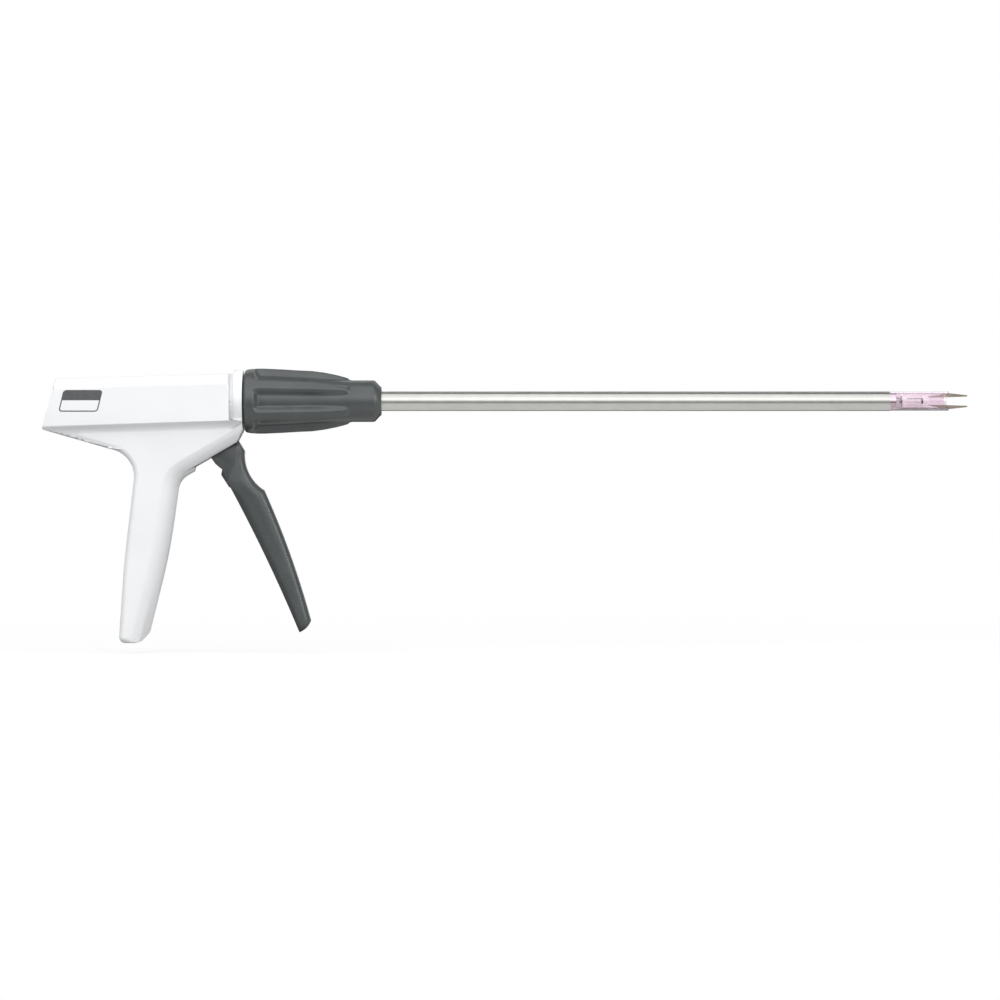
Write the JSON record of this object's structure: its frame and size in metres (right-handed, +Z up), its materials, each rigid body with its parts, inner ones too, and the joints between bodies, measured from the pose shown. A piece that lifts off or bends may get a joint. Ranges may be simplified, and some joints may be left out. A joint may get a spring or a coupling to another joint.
{
  "type": "laparoscopic clip applier",
  "caption": "Pistol-grip surgical clip applier with a fluted rotation knob, a long slim shaft, a clear tip shroud and two small jaws.",
  "frame": {"origin": "on the shaft axis at the front face of the rotation knob, where the exposed shaft starts", "axes": "+X along the shaft towards the jaws, +Z up, away from the grip"},
  "size_m": [0.4705, 0.033, 0.1397],
  "materials": {
    "white_abs": "satin",
    "grey_plastic": "satin",
    "acetal": "satin",
    "shaft_steel": "satin",
    "steel": "satin",
    "jaw_steel": "satin",
    "titanium": "satin",
    "clear_lilac": "gloss",
    "seal_rubber": "matte"
  },
  "bodies": {
    "handle": {"right_handle_half": "white_abs", "left_handle_half": "white_abs", "knob_bush": "acetal", "trigger_pivot_pin": "steel", "pawl_pin": "steel"},
    "trigger": {"trigger": "grey_plastic", "ratchet_plate": "steel"},
    "pawl": {"pawl": "steel"},
    "shaft": {"rotation_knob": "grey_plastic", "spigot_ring": "steel", "shaft_tube": "shaft_steel", "gas_seal": "seal_rubber", "upper_shroud": "clear_lilac", "lower_shroud": "clear_lilac", "jaw_carrier": "steel", "jaw_pins": "steel", "clip_track": "steel", "return_spring": "steel", "feeder_spring": "steel"},
    "closing_drive": {"drive_collar": "acetal", "closing_rod": "steel", "closing_channel": "steel"},
    "feed": {"feed_bar": "steel", "feed_slider": "acetal"},
    "clip_row": {"clips": "titanium", "feeder_shoe": "acetal"},
    "upper_jaw": {"upper_jaw": "jaw_steel"},
    "lower_jaw": {"lower_jaw": "jaw_steel"}
  },
  "joints": [
    {"name": "trigger_squeeze", "type": "hinge", "parent": "handle", "child": "trigger", "pos_m": [-0.088, 0, -0.017], "axis": [0, 1, 0], "range_deg": [0, 30], "stiffness_Nm_per_rad": 0.4, "springref_deg": -17.19},
    {"name": "pawl_lift", "type": "hinge", "parent": "handle", "child": "pawl", "pos_m": [-0.106, 0, -0.012], "axis": [0, 1, 0], "range_deg": [0, 15], "stiffness_Nm_per_rad": 0.005, "springref_deg": -5.73},
    {"name": "shaft_turn", "type": "hinge", "parent": "handle", "child": "shaft", "pos_m": [0, 0, 0], "axis": [1, 0, 0], "continuous": true},
    {"name": "closing_slide", "type": "slide", "parent": "shaft", "child": "closing_drive", "axis": [1, 0, 0], "range_m": [0, 0.0089], "deforming": ["return_spring"]},
    {"name": "feed_slide", "type": "slide", "parent": "shaft", "child": "feed", "axis": [1, 0, 0], "range_m": [0, 0.0087]},
    {"name": "clip_advance", "type": "slide", "parent": "shaft", "child": "clip_row", "axis": [1, 0, 0], "range_m": [0, 0.0086], "deforming": ["feeder_spring"]},
    {"name": "upper_jaw_close", "type": "hinge", "parent": "shaft", "child": "upper_jaw", "pos_m": [0.264, 0, 0.0022], "axis": [0, 1, 0], "range_deg": [0, 3.3]},
    {"name": "lower_jaw_close", "type": "hinge", "parent": "shaft", "child": "lower_jaw", "pos_m": [0.264, 0, -0.0022], "axis": [0, -1, 0], "range_deg": [0, 3.3]}
  ],
  "couplings": [
    {"joint": "closing_slide", "follows": "trigger_squeeze", "m_per_rad": 0.016807},
    {"joint": "feed_slide", "follows": "trigger_squeeze", "m_per_rad": 0.016425},
    {"joint": "upper_jaw_close", "follows": "trigger_squeeze", "ratio": 0.10667},
    {"joint": "lower_jaw_close", "follows": "trigger_squeeze", "ratio": 0.10667}
  ]
}
